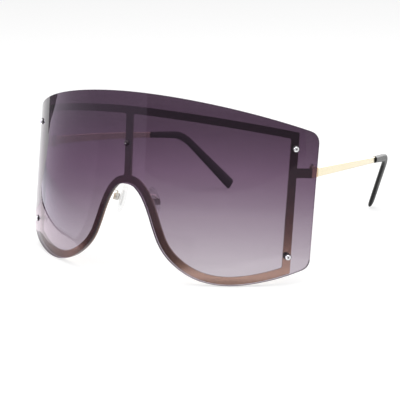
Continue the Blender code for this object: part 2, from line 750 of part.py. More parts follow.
def build_hinge(side_name, side, front_pivot, temple_pivot):
    """Two front knuckles, one temple knuckle between them and the screw through all three."""
    half = HINGE_HEIGHT / 2
    middle = KNUCKLE_HEIGHT / 2
    front = for_side(prism(knuckle_outline(-HINGE_FRONT_LEAF), -half, half), side)
    front = add_object(f"hinge_front_{side_name}", front, gold_metal(), front_pivot)
    room = KNUCKLE_RADIUS + SEAT_GAP
    reach = room + CUT_OVERRUN
    slot = [(-reach, -room), (reach, -room), (reach, reach), (-reach, reach)]
    slot = for_side(prism(slot, -middle - SEAT_GAP, middle + SEAT_GAP), side)
    combine(front, add_helper(f"hinge_slot_{side_name}", slot, front_pivot), "DIFFERENCE")
    bore = add_helper(f"hinge_bore_{side_name}", hinge_bore(), front_pivot)
    combine(front, bore, "DIFFERENCE")

    rear = for_side(prism(knuckle_outline(HINGE_REAR_LEAF), -middle, middle), side)
    rear = add_object(f"hinge_rear_{side_name}", rear, gold_metal(), temple_pivot)
    step_low, step_high = HINGE_LEAF_STEP_SHARES
    leaf_low = KNUCKLE_RADIUS - HINGE_LEAF_THICKNESS * step_low
    leaf_high = KNUCKLE_RADIUS - HINGE_LEAF_THICKNESS * step_high
    leaf = [(leaf_low, room + SEAT_GAP), (leaf_high, room + SEAT_GAP),
            (leaf_high, HINGE_REAR_LEAF - SEAT_GAP), (leaf_low, HINGE_REAR_LEAF - SEAT_GAP)]
    leaf_half = HINGE_REAR_LEAF_HEIGHT / 2
    leaf = for_side(prism(leaf, -leaf_half, leaf_half), side)
    combine(rear, add_helper(f"hinge_leaf_{side_name}", leaf, temple_pivot), "UNION")
    rear_bore = add_helper(f"hinge_rear_bore_{side_name}", hinge_bore(), temple_pivot)
    combine(rear, rear_bore, "DIFFERENCE")

    recess = (slot_outline(HINGE_HEAD_RADIUS, HINGE_SLOT_WIDTH), HINGE_SLOT_DEPTH)
    screw = screw_mesh(HINGE_PIN_RADIUS, HINGE_HEIGHT + SEAT_GAP, HINGE_HEAD_RADIUS,
                       HINGE_HEAD_HEIGHT, HINGE_HEAD_RADIUS * SLOTTED_FLAT_SHARE, recess,
                       SMALL_ROUND_STEPS)
    bmesh.ops.transform(screw, matrix=Matrix.Rotation(math.pi, 4, "X"), verts=screw.verts)
    add_object(f"hinge_screw_{side_name}", screw, bright_steel(), front_pivot,
               (0, 0, half + SEAT_GAP))


# Temples and tips, left-hand, with the hinge axis at the origin

def temple_path():
    """Centre line from the hinge to the tip's end, as (point, direction) stations."""
    start = Vector((HINGE_OFFSET, SEAT_GAP / 2, 0))
    ear = start + Vector((-EAR_INSET, EAR_REACH, -EAR_FALL))
    bow_in, bow_back, bow_fall = BOW_SHARES
    bow = start + Vector((-EAR_INSET * bow_in, EAR_REACH * bow_back, -EAR_FALL * bow_fall))
    stations = []
    for i in range(TEMPLE_STEPS):
        t = i / TEMPLE_STEPS
        point = start * (1 - t) ** 2 + bow * 2 * t * (1 - t) + ear * t ** 2
        along = (bow - start) * (1 - t) + (ear - bow) * t
        stations.append((point, along.normalized()))
    run = (ear - bow).normalized()
    level = math.cos(DROP_PITCH)
    drop = Vector((-math.sin(DROP_TOE_IN) * level, math.cos(DROP_TOE_IN) * level,
                   -math.sin(DROP_PITCH)))
    bend = run.angle(drop)
    square = (drop - run * drop.dot(run)).normalized()
    for i in range(EAR_STEPS):
        turn = bend * i / EAR_STEPS
        point = ear + run * EAR_BEND_RADIUS * math.sin(turn)
        point += square * EAR_BEND_RADIUS * (1 - math.cos(turn))
        stations.append((point, run * math.cos(turn) + square * math.sin(turn)))
    foot = ear + run * EAR_BEND_RADIUS * math.sin(bend)
    foot += square * EAR_BEND_RADIUS * (1 - math.cos(bend))
    for i in range(DROP_STEPS + 1):
        stations.append((foot + drop * DROP_LENGTH * i / DROP_STEPS, drop))
    return stations


def with_lengths(stations):
    """Each station with its distance along the path."""
    run = 0.0
    measured = [(0.0, *stations[0])]
    for (a, _), (b, along) in zip(stations, stations[1:]):
        run += (b - a).length
        measured.append((run, b, along))
    return measured


def station_at(measured, distance):
    """Point and direction at a distance along the path."""
    for (s0, p0, d0), (s1, p1, d1) in zip(measured, measured[1:]):
        if distance <= s1:
            t = (distance - s0) / (s1 - s0)
            return p0.lerp(p1, t), d0.lerp(d1, t).normalized()
    return measured[-1][1:]


def cross_section(point, along, outline):
    """Outline of (thickness, height) points set square to the path."""
    outward = (Vector((1, 0, 0)) - along * along.x).normalized()
    upward = outward.cross(along)
    return [point + outward * a + upward * b for a, b in outline]


def strip_outline(thickness, height):
    a, b, c = thickness / 2, height / 2, TEMPLE_EDGE_CHAMFER
    return [(a, -b + c), (a, b - c), (a - c, b), (-a + c, b),
            (-a, b - c), (-a, -b + c), (-a + c, -b), (a - c, -b)]


def oval_outline(thickness, width):
    """Oval a little squarer than an ellipse."""
    points = []
    for i in range(TIP_ROUND_STEPS):
        turn = math.tau * (i + 0.5) / TIP_ROUND_STEPS
        c, s = math.cos(turn), math.sin(turn)
        points.append((thickness / 2 * math.copysign(abs(c) ** TIP_OVAL_POWER, c),
                       width / 2 * math.copysign(abs(s) ** TIP_OVAL_POWER, s)))
    return points


def distances(measured, start, end):
    """Path distances from start to end, with the path's own stations between them."""
    inner = [s for s, _, _ in measured if start + SEAT_GAP < s < end - SEAT_GAP]
    return [start] + inner + [end]


def temple_mesh(measured):
    """Flat strip that narrows to the tip, with a slim core that runs on inside it."""
    shoulder = TIP_START - SEAT_GAP
    core_end = measured[-1][0] - CORE_END_MARGIN
    rings = []
    for s in distances(measured, 0.0, shoulder):
        share = s / shoulder
        thickness = TEMPLE_THICKNESS + (TEMPLE_END_THICKNESS - TEMPLE_THICKNESS) * share
        height = TEMPLE_HEIGHT + (TEMPLE_END_HEIGHT - TEMPLE_HEIGHT) * share
        rings.append(cross_section(*station_at(measured, s), strip_outline(thickness, height)))
    for s in distances(measured, shoulder, core_end):
        outline = strip_outline(CORE_THICKNESS, CORE_HEIGHT)
        rings.append(cross_section(*station_at(measured, s), outline))
    return skin(rings)


def tip_size(share):
    """Thickness and width of the tip at a share of its length."""
    swell = share ** TIP_SWELL_POWER
    return (TIP_FRONT_THICKNESS + (TIP_END_THICKNESS - TIP_FRONT_THICKNESS) * share,
            TIP_FRONT_WIDTH + (TIP_END_WIDTH - TIP_FRONT_WIDTH) * swell)


def tip_mesh(measured):
    """Sleeve that swells to a flat, rounded end, bored for the temple's core."""
    end = measured[-1][0]
    length = end - TIP_START
    bore_end = end - CORE_END_MARGIN + BORE_CLEARANCE
    bore = oval_outline(CORE_THICKNESS + 2 * BORE_CLEARANCE, CORE_HEIGHT + 2 * BORE_CLEARANCE)
    rings = []
    for s in reversed(distances(measured, TIP_START, bore_end)):
        rings.append(cross_section(*station_at(measured, s), bore))
    for s in distances(measured, TIP_START, end - TIP_END_ROUNDING):
        outline = oval_outline(*tip_size((s - TIP_START) / length))
        rings.append(cross_section(*station_at(measured, s), outline))
    thickness, width = tip_size(1.0)
    for share in TIP_ROUNDING_SHARES:
        lost = 1 - math.sqrt(1 - share ** 2 * TIP_ROUNDING_DEPTH_SHARE)
        outline = oval_outline(thickness * (1 - lost), width - 2 * TIP_END_ROUNDING * lost)
        s = end - TIP_END_ROUNDING * (1 - share)
        rings.append(cross_section(*station_at(measured, s), outline))
    return skin(rings)


def build_temple(side_name, side, pivot):
    measured = with_lengths(temple_path())
    strip = for_side(temple_mesh(measured), side)
    add_object(f"temple_{side_name}", strip, gold_metal(), pivot)
    tip = for_side(tip_mesh(measured), side)
    add_object(f"temple_tip_{side_name}", tip, black_tip(), pivot)


# Nose pads, left-hand, in the pad screw's frame

def box_width():
    return LUG_THICKNESS + 2 * SEAT_GAP + 2 * BOX_WALL


def lug_end():
    """Lug's outer end, short of the back of the box."""
    return BOX_DEPTH / 2 - BOX_WALL - SEAT_GAP


def pad_box():
    """Small cup, open towards the nose, with a hole through its front and rear walls."""
    back, mouth = BOX_DEPTH / 2, -BOX_DEPTH / 2
    outer = box_width() / 2
    inner = outer - BOX_WALL
    floor = back - BOX_WALL
    outline = [(mouth, -outer), (back, -outer), (back, outer), (mouth, outer),
               (mouth, inner), (floor, inner), (floor, -inner), (mouth, -inner)]
    return prism(outline, -BOX_HEIGHT / 2, BOX_HEIGHT / 2)


def along_screw(bm):
    """Turn a mesh made along z so that it runs along y."""
    bmesh.ops.transform(bm, matrix=Matrix.Rotation(-math.pi / 2, 4, "X"), verts=bm.verts)
    return bm


def pad_bore():
    half = box_width() / 2 + CUT_OVERRUN
    return along_screw(lathe_plug(PAD_SCREW_RADIUS + BORE_CLEARANCE, -half, half))


def pad_lug():
    half = LUG_THICKNESS / 2
    outline = [(-LUG_REACH - INSERT_PLATE_THICKNESS / 2, -half), (lug_end(), -half),
               (lug_end(), half), (-LUG_REACH - INSERT_PLATE_THICKNESS / 2, half)]
    return prism(outline, -LUG_HEIGHT / 2, LUG_HEIGHT / 2)


def oval_ring(x, width, height, steps):
    """Upright oval at a distance x, a little narrower at its top."""
    points = []
    for i in range(steps):
        turn = math.tau * i / steps
        narrowing = 1 - PAD_NARROWING_SHARE * math.sin(turn)
        points.append(Vector((x, width / 2 * math.cos(turn) * narrowing,
                              height / 2 * math.sin(turn))))
    return points


def insert_plate():
    near, far = -LUG_REACH, -LUG_REACH - INSERT_PLATE_THICKNESS
    size = (INSERT_PLATE_WIDTH, INSERT_PLATE_HEIGHT, ROUND_STEPS)
    return skin([oval_ring(near, *size), oval_ring(far, *size)])


def pad_mesh():
    """Soft oval pad, rounded towards the nose, with a pocket for its insert."""
    face = -LUG_REACH - INSERT_PLATE_THICKNESS - SEAT_GAP - (PAD_THICKNESS - PAD_POCKET_DEPTH)
    back = face + PAD_THICKNESS
    rings = []
    for depth_share, size_share in PAD_PROFILE_SHARES:
        x = face + PAD_THICKNESS * depth_share
        rings.append(oval_ring(x, PAD_WIDTH * size_share, PAD_HEIGHT * size_share,
                               ROUND_STEPS))
    pocket = (INSERT_PLATE_WIDTH + 2 * SEAT_GAP, INSERT_PLATE_HEIGHT + 2 * SEAT_GAP,
              ROUND_STEPS)
    rings.append(oval_ring(back, *pocket))
    rings.append(oval_ring(back - PAD_POCKET_DEPTH, *pocket))
    return skin(rings)


def pad_wire(side_name, side, pivot, parent):
    """Short wire from the rim's back, over and down onto the pad box."""
    root = shell_point(PAD_WIRE_ROOT_ARC, FRAME_BACK + SEAT_GAP, PAD_WIRE_ROOT_LEVEL)
    root.x *= side
    top = pivot.matrix_basis @ Vector((0, 0, BOX_HEIGHT / 2 + SEAT_GAP))
    above = top + Vector((0, 0, PAD_WIRE_RISE))
    behind = root + Vector((0, (above.y - root.y) * PAD_WIRE_BACK_SHARE,
                            PAD_WIRE_RISE * PAD_WIRE_LIFT_SHARE))
    curve = bpy.data.curves.new(f"pad_arm_{side_name}", "CURVE")
    curve.dimensions = "3D"
    curve.bevel_depth = PAD_WIRE_RADIUS
    curve.bevel_resolution = 2
    curve.use_fill_caps = True
    corners = [root, behind, above, top]
    steps = EAR_STEPS + DROP_STEPS
    spline = curve.splines.new("POLY")
    spline.points.add(steps)
    for i, point in enumerate(spline.points):
        t = i / steps
        weights = ((1 - t) ** 3, 3 * t * (1 - t) ** 2, 3 * t ** 2 * (1 - t), t ** 3)
        place = sum((c * w for c, w in zip(corners, weights)), Vector())
        point.co = (*place, 1.0)
    curve.materials.append(gold_metal())
    wire = bpy.data.objects.new(f"pad_arm_{side_name}", curve)
    bpy.context.scene.collection.objects.link(wire)
    wire.parent = parent


def build_nose_pad(side_name, side, parent):
    """Pad, insert, box and screw about one rocking axis, and the wire that carries them."""
    place = (side * PAD_PIVOT_SPAN, PAD_PIVOT_SETBACK, PAD_PIVOT_LEVEL)
    turn = (0, side * -PAD_FLARE, side * -PAD_SPLAY)
    mount = add_empty(f"pad_mount_{side_name}", parent, place, turn)
    pivot = add_empty(f"pad_pivot_{side_name}", parent, place, turn)

    box = add_object(f"pad_box_{side_name}", for_side(pad_box(), side), gold_metal(), mount)
    combine(box, add_helper(f"pad_box_bore_{side_name}", pad_bore(), mount), "DIFFERENCE")

    shank_end = box_width() + SEAT_GAP
    recess = (slot_outline(PAD_SCREW_HEAD_RADIUS, PAD_SLOT_WIDTH), PAD_SLOT_DEPTH)
    screw = screw_mesh(PAD_SCREW_RADIUS, shank_end, PAD_SCREW_HEAD_RADIUS,
                       PAD_SCREW_HEAD_HEIGHT, PAD_SCREW_HEAD_RADIUS * SLOTTED_FLAT_SHARE,
                       recess, SMALL_ROUND_STEPS)
    bmesh.ops.transform(screw, matrix=Matrix.Rotation(math.pi / 2, 4, "X"), verts=screw.verts)
    add_object(f"pad_screw_{side_name}", screw, bright_steel(), mount,
               (0, box_width() / 2 + SEAT_GAP, 0))

    insert = add_object(f"pad_insert_{side_name}", for_side(pad_lug(), side),
                        clear_silicone(), pivot)
    plate = add_helper(f"insert_plate_{side_name}", for_side(insert_plate(), side), pivot)
    combine(insert, plate, "UNION")
    bore = add_helper(f"insert_bore_{side_name}", pad_bore(), pivot)
    combine(insert, bore, "DIFFERENCE")
    add_object(f"nose_pad_{side_name}", for_side(pad_mesh(), side), clear_silicone(), pivot)
    pad_wire(side_name, side, mount, parent)


# Resting pose

def stand_on_table(frame):
    """Tip the wearing frame back until lobes and temple tips stand level at z = 0."""
    bpy.context.view_layer.update()
    graph = bpy.context.evaluated_depsgraph_get()
    places = []
    for item in bpy.context.scene.objects:
        if item.type == "EMPTY" or item.hide_render:
            continue
        seen = item.evaluated_get(graph)
        mesh = seen.to_mesh()
        places += [seen.matrix_world @ vert.co for vert in mesh.vertices]
        seen.to_mesh_clear()
    front = [p for p in places if p.y < PAD_PIVOT_SETBACK + SEAT_DEPTH]
    rear = [p for p in places if p.y > EAR_REACH]

    def lowest(points, tilt):
        turn = Matrix.Rotation(-tilt, 3, "X")
        return min((turn @ p).z for p in points)

    flat, steep = 0.0, math.radians(45)
    for _ in range(40):
        tilt = (flat + steep) / 2
        if lowest(rear, tilt) > lowest(front, tilt):
            flat = tilt
        else:
            steep = tilt
    turned = [Matrix.Rotation(-tilt, 3, "X") @ p for p in places]
    middle = (min(p.y for p in turned) + max(p.y for p in turned)) / 2
    frame.rotation_euler = (-tilt, 0, 0)
    frame.location = (0, -middle, -min(p.z for p in turned))


def main():
    for item in list(bpy.data.objects):
        bpy.data.objects.remove(item)
    wearing = add_empty("wearing_frame")
    build_front(wearing)
    build_lens_screws(wearing)
    hinge_line = arm_end_point() + Vector((-HINGE_OFFSET, SEAT_GAP / 2, 0))
    for side_name, side in SIDES:
        place = (side * hinge_line.x, hinge_line.y, hinge_line.z)
        front_pivot = add_empty(f"hinge_line_{side_name}", wearing, place)
        temple_pivot = add_empty(f"temple_pivot_{side_name}", wearing, place)
        build_hinge(side_name, side, front_pivot, temple_pivot)
        build_temple(side_name, side, temple_pivot)
        build_nose_pad(side_name, side, wearing)
    stand_on_table(wearing)


main()
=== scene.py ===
"""Shield sunglasses: bevelled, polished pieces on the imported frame, in a white studio."""

import json
import math

import bmesh
import bpy
from mathutils import Matrix, Vector

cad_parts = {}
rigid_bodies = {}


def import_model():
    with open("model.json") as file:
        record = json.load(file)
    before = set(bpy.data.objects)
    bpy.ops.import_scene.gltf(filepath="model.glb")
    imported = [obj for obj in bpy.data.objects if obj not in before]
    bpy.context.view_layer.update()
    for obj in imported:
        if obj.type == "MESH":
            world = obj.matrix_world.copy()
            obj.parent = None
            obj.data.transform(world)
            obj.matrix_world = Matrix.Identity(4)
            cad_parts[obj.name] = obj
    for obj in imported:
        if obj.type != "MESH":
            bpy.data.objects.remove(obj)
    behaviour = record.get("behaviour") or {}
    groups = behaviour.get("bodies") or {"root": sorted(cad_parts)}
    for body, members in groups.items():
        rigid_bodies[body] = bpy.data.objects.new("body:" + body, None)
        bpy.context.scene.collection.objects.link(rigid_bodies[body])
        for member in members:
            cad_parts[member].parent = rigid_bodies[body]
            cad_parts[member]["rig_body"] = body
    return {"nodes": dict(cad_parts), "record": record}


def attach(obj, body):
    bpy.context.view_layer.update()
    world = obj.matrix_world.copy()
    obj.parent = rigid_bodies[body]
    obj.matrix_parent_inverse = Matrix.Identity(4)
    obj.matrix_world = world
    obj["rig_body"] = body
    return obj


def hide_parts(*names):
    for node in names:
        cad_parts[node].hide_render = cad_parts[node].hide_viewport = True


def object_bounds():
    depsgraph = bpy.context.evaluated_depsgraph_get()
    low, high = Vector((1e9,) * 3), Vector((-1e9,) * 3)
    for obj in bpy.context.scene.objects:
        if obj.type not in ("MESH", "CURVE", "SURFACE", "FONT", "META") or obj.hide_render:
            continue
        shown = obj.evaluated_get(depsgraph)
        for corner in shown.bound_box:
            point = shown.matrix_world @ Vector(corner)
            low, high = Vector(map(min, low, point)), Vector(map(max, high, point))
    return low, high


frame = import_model()
cad_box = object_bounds()

MM = 0.001
MERGE = 0.001 * MM

# The lens is part of a cone that leans back, measured from the top of its nose arch.
LENS_LEAN = math.radians(5.958)
ARCH_TOP = Vector((0, -82.66, 41.46)) * MM
LENS_BACK = Vector((0, math.cos(LENS_LEAN), -math.sin(LENS_LEAN)))
LENS_UP = Vector((0, math.sin(LENS_LEAN), math.cos(LENS_LEAN)))
LENS_BELOW_ARCH = 40 * MM
LENS_TALL = 80 * MM
LENS_RADIUS = 98 * MM
CONE_SLOPE = 0.104

WHITE = (1.0, 1.0, 1.0, 1.0)


# Shader maths

class Wire:
    """A node's output that can be used in sums."""

    def __init__(self, finish, socket):
        self.finish = finish
        self.socket = socket

    def __add__(self, other):
        return self.finish.maths("ADD", self, other)

    def __radd__(self, other):
        return self.finish.maths("ADD", other, self)

    def __sub__(self, other):
        return self.finish.maths("SUBTRACT", self, other)

    def __rsub__(self, other):
        return self.finish.maths("SUBTRACT", other, self)

    def __mul__(self, other):
        return self.finish.maths("MULTIPLY", self, other)

    def __rmul__(self, other):
        return self.finish.maths("MULTIPLY", other, self)

    def __truediv__(self, other):
        return self.finish.maths("DIVIDE", self, other)

    def __rtruediv__(self, other):
        return self.finish.maths("DIVIDE", other, self)

    def __pow__(self, other):
        return self.finish.maths("POWER", self, other)

    def __rpow__(self, other):
        return self.finish.maths("POWER", other, self)

    def at_least(self, other):
        return self.finish.maths("MAXIMUM", self, other)

    def at_most(self, other):
        return self.finish.maths("MINIMUM", self, other)


class Finish:
    """The nodes that make up a material, or the light all round."""

    def __init__(self, owner, output="ShaderNodeOutputMaterial"):
        owner.use_nodes = True
        self.owner = owner
        self.tree = owner.node_tree
        self.tree.nodes.clear()
        self.output = self.tree.nodes.new(output)

    def node(self, kind, settings=None, sockets=None):
        """Any node: its settings first, then the values or links of its sockets."""
        made = self.tree.nodes.new(kind)
        for key, value in (settings or {}).items():
            if key == "stops":
                set_stops(made.color_ramp, value)
            else:
                setattr(made, key, value)
        for key, value in (sockets or {}).items():
            self.plug(made.inputs[key], value)
        return made

    def plug(self, socket, value):
        if isinstance(value, Wire):
            self.tree.links.new(value.socket, socket)
        else:
            socket.default_value = value

    def wire(self, kind, settings=None, sockets=None, output=0):
        return Wire(self, self.node(kind, settings, sockets).outputs[output])

    def place(self):
        return self.wire("ShaderNodeTexCoord", output="Object")

    def maths(self, operation, first, second):
        return self.wire("ShaderNodeMath", {"operation": operation}, {0: first, 1: second})

    def vectors(self, operation, first, second=(0, 0, 0), output="Vector"):
        return self.wire("ShaderNodeVectorMath", {"operation": operation},
                         {0: first, 1: second}, output)

    def noise(self, scale, detail, stretch=None):
        vector = self.place()
        if stretch:
            vector = self.wire("ShaderNodeMapping", {}, {"Vector": vector, "Scale": stretch})
        return self.wire("ShaderNodeTexNoise", {},
                         {"Vector": vector, "Scale": scale, "Detail": detail})

    def ramp(self, value, stops):
        return self.wire("ShaderNodeValToRGB", {"stops": stops}, {"Fac": value}, "Color")

    def blend(self, factor, first, second):
        return self.wire("ShaderNodeMix", {"data_type": "RGBA"},
                         {0: factor, 6: first, 7: second}, 2)

    def dimmed(self, colour, share):
        return self.wire("ShaderNodeVectorMath", {"operation": "SCALE"},
                         {0: colour[:3], "Scale": share}, "Vector")

    def bump(self, height, strength, distance):
        return self.wire("ShaderNodeBump", {}, {"Height": height, "Strength": strength,
                                                "Distance": distance}, "Normal")

    def mixed(self, share, first, second):
        return self.wire("ShaderNodeMixShader", {}, {0: share, 1: first, 2: second})

    def show(self, shader):
        self.plug(self.output.inputs["Surface"], shader)

    def principled(self, sockets):
        self.show(self.wire("ShaderNodeBsdfPrincipled", {}, sockets))


def new_finish(name):
    return Finish(bpy.data.materials.new(name))


def set_stops(ramp, stops):
    """Grey stops, each a place and a share of white."""
    while len(ramp.elements) < len(stops):
        ramp.elements.new(0.5)
    for element, (place, share) in zip(ramp.elements, stops):
        element.position = place
        element.color = (share, share, share, 1.0)


def between(mask, low, high):
    return mask * (high - low) + low


def rgb(red, green, blue):
    """A photographed colour, 0 to 255, as the linear colour that a shader takes."""
    def linear(value):
        value = value / 255
        return value / 12.92 if value <= 0.04045 else ((value + 0.055) / 1.055) ** 2.4
    return (linear(red), linear(green), linear(blue), 1.0)


# Finishes

TINT_BY_HEIGHT = ((0.04, 0.30), (0.14, 0.352), (0.25, 0.435), (0.36, 0.522), (0.43, 0.596),
                  (0.55, 0.681), (0.68, 0.75), (0.81, 0.808), (0.92, 0.818))
DARK_SHARE_BY_HEIGHT = ((0.60, 0.85), (0.86, 0.91))
LENS_FILTER = (0.73, 0.0, 0.70, 1.0)
LENS_DARK = (0.022, 0.011, 0.023, 1.0)
# The filter deepens and greys at a slant: partly the longer path through the dye, partly painted
# shade, the shadowed floor behind the glasses seen through the lens.
SLANT_DEEPENS_LOW = 1.1
SLANT_DEEPENS_LESS_UP = 0.7
SLANT_DARKENS = 0.05
GLOSS_FACE_ON = 0.02
GLOSS_EDGE_ON = 0.98
GLOSS_POWER = 5.0
CUT_EDGE_SHADE = 0.96


def lens_height(finish):
    """Height on the lens, from 0 at the bottom of the lobes to 1 at the top."""
    place = finish.vectors("SUBTRACT", finish.place(), tuple(ARCH_TOP))
    height = finish.vectors("DOT_PRODUCT", place, tuple(LENS_UP), "Value")
    return (height + LENS_BELOW_ARCH) / LENS_TALL


def tinted_lens(name, least=0.0):
    """Clear at heart: a purple filter that thickens with height, under a polished face."""
    finish = new_finish(name)
    height = lens_height(finish)
    slant = finish.wire("ShaderNodeLayerWeight", {}, {"Blend": 0.5}, "Facing")
    # Deeper at a slant: partly the longer path, partly painted shade of the floor behind.
    deepening = 1.0 + slant * (SLANT_DEEPENS_LOW - height * SLANT_DEEPENS_LESS_UP)
    tint = 1.0 - (1.0 - finish.ramp(height, TINT_BY_HEIGHT)) ** deepening
    grey = (finish.ramp(height, DARK_SHARE_BY_HEIGHT) + slant * SLANT_DARKENS).at_most(1.0)
    # With least, the filter and its grey stay near full: painted shade on the lens's cut edge, as
    # the lens is nearly clear at the bottom.
    if least:
        tint, grey = tint.at_least(least), grey.at_least(least)
    clear = finish.wire("ShaderNodeBsdfTransparent", {}, {"Color": WHITE})
    filtered = finish.wire("ShaderNodeBsdfTransparent", {}, {"Color": LENS_FILTER})
    dark = finish.wire("ShaderNodeBsdfPrincipled", {}, {
        "Base Color": LENS_DARK, "Roughness": 0.4, "IOR": 1.5, "Specular IOR Level": 0.0,
        "Metallic": 0.0})
    film = finish.mixed(grey, filtered, dark)
    body = finish.mixed(tint, clear, film)
    gloss = finish.wire("ShaderNodeBsdfGlossy", {}, {"Color": WHITE, "Roughness": 0.02})
    sheen = slant ** GLOSS_POWER * GLOSS_EDGE_ON + GLOSS_FACE_ON
    finish.show(finish.mixed(sheen, body, gloss))
    return finish.owner


def gold_plating(name, light, deep):
    """Polished plating with fine drawn streaks and slow shifts of colour."""
    finish = new_finish(name)
    streaks = finish.noise(scale=900.0, detail=4.0, stretch=(1.0, 0.12, 1.0))
    finish.principled({
        "Base Color": finish.blend(finish.noise(scale=120.0, detail=2.0), light, deep),
        "Roughness": between(streaks, 0.14, 0.24), "Metallic": 1.0,
        "Normal": finish.bump(streaks, strength=0.05, distance=0.02 * MM)})
    return finish.owner


def bright_steel(name):
    finish = new_finish(name)
    scuffs = finish.noise(scale=2200.0, detail=4.0)
    finish.principled({
        "Base Color": finish.blend(scuffs, rgb(214, 214, 218), rgb(232, 232, 234)),
        "Roughness": between(scuffs, 0.12, 0.24), "Metallic": 1.0,
        "Normal": finish.bump(scuffs, strength=0.05, distance=0.02 * MM)})
    return finish.owner


# The centre screw's steel head in a dark purple: a painted dark reflection.
def steel_painted_dark(name):
    finish = new_finish(name)
    scuffs = finish.noise(scale=2200.0, detail=4.0)
    finish.principled({
        "Base Color": finish.blend(scuffs, rgb(46, 36, 45), rgb(60, 48, 58)),
        "Roughness": between(scuffs, 0.10, 0.22), "Metallic": 1.0})
    return finish.owner


def black_tip(name):
    finish = new_finish(name)
    grain = finish.noise(scale=1500.0, detail=5.0)
    shifts = finish.noise(scale=160.0, detail=3.0)
    finish.principled({
        "Base Color": finish.blend(shifts, rgb(24, 24, 25), rgb(34, 33, 35)),
        "Roughness": between(grain, 0.22, 0.34), "Metallic": 0.0, "IOR": 1.5,
        "Specular IOR Level": 0.36,
        "Normal": finish.bump(grain, strength=0.08, distance=0.03 * MM)})
    return finish.owner


def clear_silicone(name):
    finish = new_finish(name)
    haze = finish.noise(scale=500.0, detail=3.0)
    finish.principled({
        "Base Color": finish.blend(haze, rgb(188, 186, 184), rgb(170, 168, 166)),
        "Alpha": between(haze, 0.06, 0.12), "Roughness": between(haze, 0.12, 0.22),
        "Metallic": 0.0, "IOR": 1.42,
        "Normal": finish.bump(haze, strength=0.06, distance=0.03 * MM)})
    return finish.owner


# A nylon washer under each screw head, dark so that it paints the shade round the head.
def nylon_washer_painted_shade(name):
    finish = new_finish(name)
    haze = finish.noise(scale=900.0, detail=2.0)
    finish.principled({
        "Base Color": finish.blend(haze, rgb(52, 44, 50), rgb(66, 58, 62)),
        "Roughness": between(haze, 0.4, 0.5), "Metallic": 0.0, "IOR": 1.5})
    return finish.owner


# A matte disc in a screw's socket: dark for painted shade in the recess, near white for a painted
# glint.
def painted_socket_disc(name, light, deep):
    finish = new_finish(name)
    scuffs = finish.noise(scale=2600.0, detail=3.0)
    finish.principled({
        "Base Color": finish.blend(scuffs, light, deep),
        "Roughness": between(scuffs, 0.4, 0.6), "Metallic": 0.0, "IOR": 1.4})
    return finish.owner


FINISHES = {
    "tinted_lens": tinted_lens("tinted_lens"),
    "lens_edge_shade": tinted_lens("lens_edge_shade", CUT_EDGE_SHADE),
    "gold_metal": gold_plating("gold_metal", rgb(246, 236, 208), rgb(240, 228, 196)),
    "gold_rim": gold_plating("gold_rim", rgb(244, 212, 176), rgb(238, 203, 165)),
    # The frame's cut edges, a dark brown gold: painted shade on the sides of the rim.
    "rim_edge_shade": gold_plating("rim_edge_shade", rgb(124, 102, 92), rgb(104, 86, 80)),
    "pale_wire": gold_plating("pale_wire", rgb(249, 246, 240), rgb(241, 237, 230)),
    "steel_painted_dark": steel_painted_dark("steel_painted_dark"),
    "socket_shade": painted_socket_disc("socket_shade", rgb(96, 84, 98), rgb(122, 110, 122)),
    "socket_glint": painted_socket_disc("socket_glint", rgb(250, 248, 250), rgb(238, 236, 240)),
    "bright_steel": bright_steel("bright_steel"),
    "black_tip": black_tip("black_tip"),
    "clear_silicone": clear_silicone("clear_silicone"),
    "nylon_washer_painted_shade": nylon_washer_painted_shade("nylon_washer_painted_shade"),
}


# Pieces that stand for the CAD nodes

SHARP_FROM = 50.0
EDGE_FROM = 35.0
WIRE_EDGE_FROM = 60.0
TIP_EDGE_FROM = 55.0
FLAT_WITHIN = 0.25
PAIR_WITHIN = 40.0
PAIR_SHAPE_WITHIN = 60.0
ROUNDING_LEVELS = 2

LENS_EDGE = 0.22 * MM
FRAME_EDGE = 0.15 * MM
TIP_EDGE = 0.12 * MM
SMALL_EDGE = 0.06 * MM
WIRE_EDGE = 0.04 * MM


def slot_of(node):
    rows = frame["record"]["subparts"]
    return next(row["material_slot"] for row in rows if row["node"] == node)


def body_of(node):
    return frame["nodes"][node]["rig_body"]


def merged(node):
    """The node's solid as one merged mesh."""
    bm = bmesh.new()
    bm.from_mesh(frame["nodes"][node].data)
    bmesh.ops.remove_doubles(bm, verts=bm.verts, dist=MERGE)
    bmesh.ops.recalc_face_normals(bm, faces=bm.faces)
    return bm


def with_whole_flats(bm):
    """The same solid, the triangles of each flat face joined."""
    bmesh.ops.dissolve_limit(bm, angle_limit=math.radians(FLAT_WITHIN), verts=bm.verts,
                             edges=bm.edges, use_dissolve_boundaries=False)
    return bm


def softened(bm, width, segments=2, angle=EDGE_FROM):
    """Small round edges wherever the faces meet at more than the angle."""
    limit = math.radians(angle)
    edges = [e for e in bm.edges if len(e.link_faces) == 2 and e.calc_face_angle() > limit]
    bmesh.ops.bevel(bm, geom=edges, offset=width, offset_type="OFFSET", segments=segments,
                    profile=0.5, affect="EDGES", material=-1, clamp_overlap=True)
    return bm


def piece(name, bm, finish, body, slot, subdivide=0, second=None, normals=None):
    """A piece of the glasses, shaded smooth and on its body. The slot is not used."""
    mesh = bpy.data.meshes.new(name)
    bm.to_mesh(mesh)
    bm.free()
    mesh.materials.append(FINISHES[finish])
    if second:
        mesh.materials.append(FINISHES[second])
    mesh.shade_smooth()
    if normals:
        mesh.normals_split_custom_set_from_vertices(normals)
    else:
        mesh.set_sharp_from_angle(angle=math.radians(SHARP_FROM))
    made = bpy.data.objects.new(name, mesh)
    bpy.context.scene.collection.objects.link(made)
    if subdivide:
        rounder = made.modifiers.new("round", "SUBSURF")
        rounder.levels = subdivide
        rounder.render_levels = subdivide
    elif not normals:
        even = made.modifiers.new("even", "WEIGHTED_NORMAL")
        even.keep_sharp = True
    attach(made, body)
    return made


